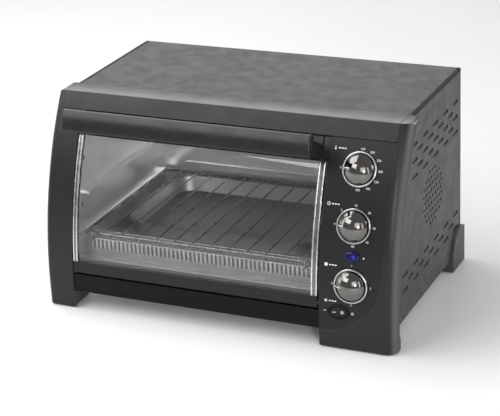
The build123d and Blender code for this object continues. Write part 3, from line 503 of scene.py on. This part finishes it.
def draw_slice(drawing):
    w, h = 1.9 * MM, 1.8 * MM
    right_side = [(w, -h), (w, 0.4 * h), (1.15 * w, 0.8 * h), (0.7 * w, 1.15 * h)]
    drawing.polygon(right_side + [(-x, y) for x, y in reversed(right_side)])


def draw_fan(drawing):
    drawing.disc((0, 0), 0.5 * MM)
    for i in range(4):
        drawing.disc(turned(1.3 * MM, 90 * i + 45), 0.75 * MM, 12)


def add_section_marks():
    """Small symbols and rules that stand over each group of controls."""
    places = ((draw_thermometer, 149.0, 244.0), (draw_clock, 149.0, 181.8),
              (draw_slice, 150.5, 109.6), (draw_fan, 151.0, 64.0))
    rule_starts, rule_length, rule_width = (4.0, 7.6, 11.2), 2.4, 1.5
    for index, (draw, x, z) in enumerate(places):
        drawing = Drawing()
        draw(drawing)
        for start in rule_starts:
            drawing.bar((start * MM, 0), ((start + rule_length) * MM, 0), rule_width * MM)
        lay_on_panel(drawing, "section_mark_%d" % index, x * MM, z * MM)


def add_lamp_mark():
    """Small triangle printed beside the indicator."""
    half, low, high = 1.4 * MM, -0.9 * MM, 1.3 * MM
    drawing = Drawing()
    drawing.polygon([(-half, low), (half, low), (0.0, high)])
    lay_on_panel(drawing, "lamp_mark", 198.2 * MM, 122.4 * MM)


def add_switch_marks():
    """Bar and ring printed on the panel at the two ends of the rocker switch."""
    drawing = Drawing()
    drawing.bar((-19.5 * MM, 0), (-16.5 * MM, 0), 0.7 * MM)
    drawing.ring((18.0 * MM, 0), 1.6 * MM, 1.0 * MM)
    rocker = JOINTS["rocker_tilt"]["pos_m"]
    lay_on_panel(drawing, "switch_marks", rocker[0], rocker[2])


def add_ring_ticks(name):
    """Dark graduations engraved round a dial ring, with every third one longer."""
    inner, outer, outer_long, width = 19.9 * MM, 20.8 * MM, 21.3 * MM, 0.35 * MM
    ring_face = 2.98 * MM
    drawing = Drawing()
    for step in range(36):
        end = outer if step % 3 else outer_long
        drawing.bar(turned(inner, 10 * step), turned(end, 10 * step), width)
    centre = dial_centre(name)
    drawing.lay(name + "_ring_ticks", centre.x, centre.z, ring_face, INK, "oven", "bright_ring")


# ---- marks that move with the dials and the rocker ----
def local_frame(name):
    """Axes at a dial or switch: x right, y up the panel, z out of the panel."""
    joint = JOINTS[name]
    right, against = Vector((1, 0, 0)), Vector(joint["axis"]) * -1
    out = against if name.endswith("_turn") else right.cross(against)
    matrix = Matrix((right, out.cross(right), out)).transposed().to_4x4()
    return Matrix.Translation(Vector(joint["pos_m"])) @ matrix


def add_rocker_symbols():
    """Bar and ring printed on the two halves of the rocker, laid down onto its curved face."""
    above, skin = 30 * MM, 0.01 * MM
    place = local_frame("rocker_tilt")
    inward = place.to_3x3() @ Vector((0, 0, -1))
    drawing = Drawing()
    drawing.bar((-6.6 * MM, 0), (-3.2 * MM, 0), 0.9 * MM)
    drawing.ring((4.9 * MM, 0), 1.9 * MM, 1.1 * MM)
    verts = []
    for x, y, rise in drawing.verts:
        hit, spot, _, _ = frame["nodes"]["rocker"].ray_cast(place @ Vector((x, y, above)), inward)
        if not hit:
            raise RuntimeError("a rocker symbol misses the rocker")
        verts.append(spot - inward * (rise + skin))
    mesh_object("rocker_symbols", verts, drawing.faces, PRINT, "rocker")


def dome_height(radius):
    """Height of a knob's domed face above the panel at a distance from its axis."""
    rim, skirt, top = 18.7 * MM, 5.5 * MM, 15.0 * MM
    rise = top - skirt
    dome = (rim ** 2 + rise ** 2) / (2 * rise)
    return top - dome + math.sqrt(dome ** 2 - radius ** 2)


def tube_faces(steps):
    """Faces of a tube through steps + 1 four-cornered sections, closed at both ends."""
    faces = []
    for i in range(steps):
        for j in range(4):
            a, b = 4 * i + j, 4 * i + (j + 1) % 4
            faces.append((a, a + 4, b + 4, b))
    return faces + [(0, 1, 2, 3), tuple(4 * steps + i for i in (3, 2, 1, 0))]


def add_pointer(name):
    """Raised white line that runs down the dome to the mark it points at."""
    steps, inner, length = 10, 9.5 * MM, 8.6 * MM
    half, sunk, proud = 0.55 * MM, -0.2 * MM, 0.14 * MM
    place = local_frame(name + "_turn")
    verts = []
    for i in range(steps + 1):
        radius = inner + length * i / steps
        x, y = turned(radius, REST_ANGLE)
        for side, lift in ((-half, sunk), (-half, proud), (half, proud), (half, sunk)):
            ax, ay = turned(side, REST_ANGLE + 90)
            verts.append(place @ Vector((x + ax, y + ay, dome_height(radius) + lift)))
    mesh_object(name + "_pointer", verts, tube_faces(steps), PRINT, name + "_dial")


# ---- beads and lips that are too fine for the solids ----
# Much paler metal than the door trim: painted highlight on the trim's rolled edges.
PAINTED_HIGHLIGHT_BEAD = polished("painted_highlight_bead", (0.8, 0.8, 0.79), 0.22)
LIP_PAINT = powder_coat("vent_lip_paint", (0.05, 0.05, 0.051))
# Near black: painted shade along the seam where the top folds over each side.
SEAM_SHADE_PAINT = powder_coat("painted_seam_shade", (0.007, 0.007, 0.007), 0.6)
TRIM_X = {"left": (-201.4 * MM, -195.4 * MM), "right": (130.8 * MM, 138.5 * MM)}
TRIM_Z = (66.8 * MM, 226.6 * MM)
BEAD_WIDTH, BEAD_DEPTH, BEAD_LIFT = 1.5 * MM, 1.2 * MM, -1.4 * MM
# Vent slots of the sides: height of a field's top row, its rows, and the y that it stays behind.
VENT_FIELDS = ((235.3 * MM, 5, -45.0 * MM), (79.0 * MM, 3, -85.0 * MM))
VENT_COLUMNS, VENT_BACK_Y, VENT_STEP_Y, VENT_STEP_Z = 6, 127.0 * MM, 41.0 * MM, 10.4 * MM


def curved_strip(name, x, z, lift, depth, material, body):
    """Strip that follows the curved front between two heights, standing lift off the surface."""
    steps, verts = 14, []
    for i in range(steps + 1):
        height = z[0] + (z[1] - z[0]) * i / steps
        for side, off in ((x[0], lift - depth), (x[0], lift), (x[1], lift), (x[1], lift - depth)):
            verts.append(front_point(side, height, 0.0, off))
    piece = mesh_object(name, verts, tube_faces(steps), material, body)
    soften = piece.modifiers.new("soften", "BEVEL")
    soften.width, soften.segments = 0.25 * MM, 2


def add_trim_beads():
    """Rolled edges along both sides of each door trim, in a paler metal than the trim as a painted
    highlight.
    """
    for side, (low, high) in TRIM_X.items():
        for edge, x in (("outer", (low, low + BEAD_WIDTH)), ("inner", (high - BEAD_WIDTH, high))):
            curved_strip("trim_bead_%s_%s" % (side, edge), x, TRIM_Z, BEAD_LIFT, BEAD_DEPTH,
                         PAINTED_HIGHLIGHT_BEAD, "door")


def vent_centres():
    """Middles (y, z) of one side's vent slots; every other row is half a step further forward."""
    for top_z, rows, front_limit in VENT_FIELDS:
        for row in range(rows):
            for column in range(VENT_COLUMNS):
                y = VENT_BACK_Y - VENT_STEP_Y * (column + 0.5 * (row % 2))
                if y > front_limit:
                    yield y, top_z - VENT_STEP_Z * row


def add_vent_lips():
    """Pressed lips that lean inwards just behind the vent slots of both sides."""
    half, drop, rise, lean, sheet = 9.6 * MM, 2.9 * MM, 2.7 * MM, 1.6 * MM, 0.6 * MM
    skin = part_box("side_panel_right")[1].x - 1.02 * MM
    section = ((skin, -drop), (skin - lean, rise), (skin - lean - sheet, rise), (skin - sheet, -drop))
    for side, name in ((1, "right"), (-1, "left")):
        verts, faces = [], []
        for y, z in vent_centres():
            start = len(verts)
            for x, height in section:
                verts += [(side * x, y - half, z + height), (side * x, y + half, z + height)]
            for j in range(4):
                a, b = start + 2 * j, start + 2 * ((j + 1) % 4)
                faces.append((a, a + 1, b + 1, b))
            faces += [tuple(start + i for i in (0, 2, 4, 6)), tuple(start + i for i in (7, 5, 3, 1))]
        mesh_object("vent_lips_" + name, verts, faces, LIP_PAINT, "oven")


def add_top_rolls():
    """Rolled edge where the top sheet folds over each side, coloured near black as painted shade along the
    seam.
    """
    low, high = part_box("top_panel")
    edge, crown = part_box("side_panel_right")[1].x, high.z
    reach, bend, skin, gap, steps = 4.0 * MM, 2.0 * MM, 0.2 * MM, 0.02 * MM, 6
    arc = [math.pi / 2 * i / steps for i in range(1, steps)]
    section = [(edge + skin, crown - reach), (edge + skin, crown - bend)]
    section += [(edge - bend + (bend + skin) * math.cos(a), crown - bend + (bend + skin) * math.sin(a))
                for a in arc]
    section += [(edge - bend, crown + skin), (edge - reach, crown + skin), (edge - reach, crown + gap),
                (edge + gap, crown + gap), (edge + gap, crown - reach)]
    count = len(section)
    faces = [(i, (i + 1) % count, count + (i + 1) % count, count + i) for i in range(count)]
    faces += [tuple(range(count)), tuple(reversed(range(count, 2 * count)))]
    for side, name in ((1, "right"), (-1, "left")):
        verts = [(side * x, y, z) for y in (low.y, high.y) for x, z in section]
        mesh_object("top_roll_" + name, verts, faces, SEAM_SHADE_PAINT, "oven")


# ---- floor and lights ----
def add_floor():
    half = 6.0
    mesh = bpy.data.meshes.new("floor")
    corners = [(-half, -half, 0), (half, -half, 0), (half, half, 0), (-half, half, 0)]
    mesh.from_pydata(corners, [], [(0, 1, 2, 3)])
    floor = bpy.data.objects.new("floor", mesh)
    floor.data.materials.append(floor_paint("floor"))
    bpy.context.scene.collection.objects.link(floor)


def add_lamp(name, place, aim, size, watts):
    data = bpy.data.lights.new(name, "AREA")
    data.shape, data.size, data.size_y = "RECTANGLE", size[0], size[1]
    data.energy = watts
    lamp = bpy.data.objects.new(name, data)
    lamp.location = place
    lamp.rotation_euler = (Vector(aim) - Vector(place)).to_track_quat("-Z", "Y").to_euler()
    bpy.context.scene.collection.objects.link(lamp)


def add_lights():
    world = bpy.data.worlds.new("studio")
    world.use_nodes = True
    world.node_tree.nodes["Background"].inputs["Color"].default_value = (1, 1, 1, 1)
    world.node_tree.nodes["Background"].inputs["Strength"].default_value = 0.36
    bpy.context.scene.world = world
    middle = (0, 0, 0.13)
    add_lamp("overhead", (-1.1, 0.0, 1.6), middle, (1.5, 1.3), 22)
    add_lamp("rear_left", (-0.95, 2.1, 1.2), middle, (2.0, 1.0), 9)
    add_lamp("front_left", (-1.0, -1.35, 1.45), middle, (1.3, 0.8), 15)
    add_lamp("front_right", (1.36, -2.5, 1.4), middle, (1.5, 1.3), 15)
    add_lamp("left_side", (-2.2, -0.6, 0.8), middle, (1.0, 1.3), 9)
    add_lamp("right_side", (2.2, 0.25, 0.8), middle, (0.8, 1.0), 9)
    add_lamp("right_strip", (1.9, -1.15, 0.7), middle, (0.25, 1.3), 3)
    add_lamp("cavity_window", (0.75, -1.05, 0.42), (-0.2, -0.07, 0.17), (0.16, 0.2), 3)


add_camera()
dress_cad_nodes()
for dial in DIALS:
    add_dial_print(dial)
    add_ring_ticks(dial)
    add_pointer(dial)
add_section_marks()
add_lamp_mark()
add_switch_marks()
add_rocker_symbols()
add_trim_beads()
add_vent_lips()
add_top_rolls()
add_floor()
add_lights()
bpy.context.scene.view_settings.view_transform = "Standard"
